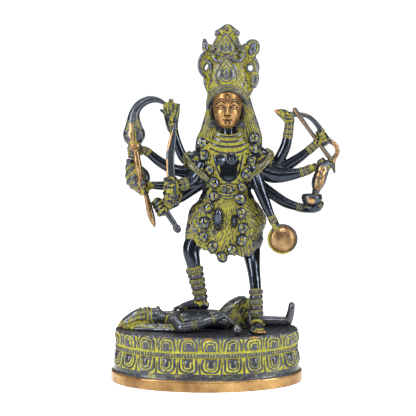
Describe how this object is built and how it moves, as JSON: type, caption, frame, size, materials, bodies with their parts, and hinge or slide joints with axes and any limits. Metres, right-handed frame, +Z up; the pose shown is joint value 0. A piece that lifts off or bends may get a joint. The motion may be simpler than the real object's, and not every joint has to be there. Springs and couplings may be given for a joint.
{
  "type": "kali figure",
  "caption": "Cast brass statue of a many armed goddess standing on a reclining figure on an oval double lotus plinth, dark patina with green pigment in the recesses.",
  "frame": {"origin": "centre of the plinth's underside", "axes": "+Z up, the figure faces -Y, +X to the viewer's right; the plinth's long axis lies along X"},
  "size_m": [0.2051, 0.108, 0.3185],
  "materials": {
    "plinth_brass": "cast brass with blue black patina, olive yellow pigment in the carving and a polished rim",
    "dark_brass": "cast brass with glossy blue black patina and a little olive yellow pigment in the folds",
    "pigmented_brass": "cast brass with glossy blue black patina on the skin, olive yellow pigment in the carving and polished copper coloured highlights"
  },
  "bodies": {
    "root": {"lotus_plinth": "plinth_brass", "shiva_figure": "dark_brass", "kali_figure": "pigmented_brass"}
  },
  "joints": []
}
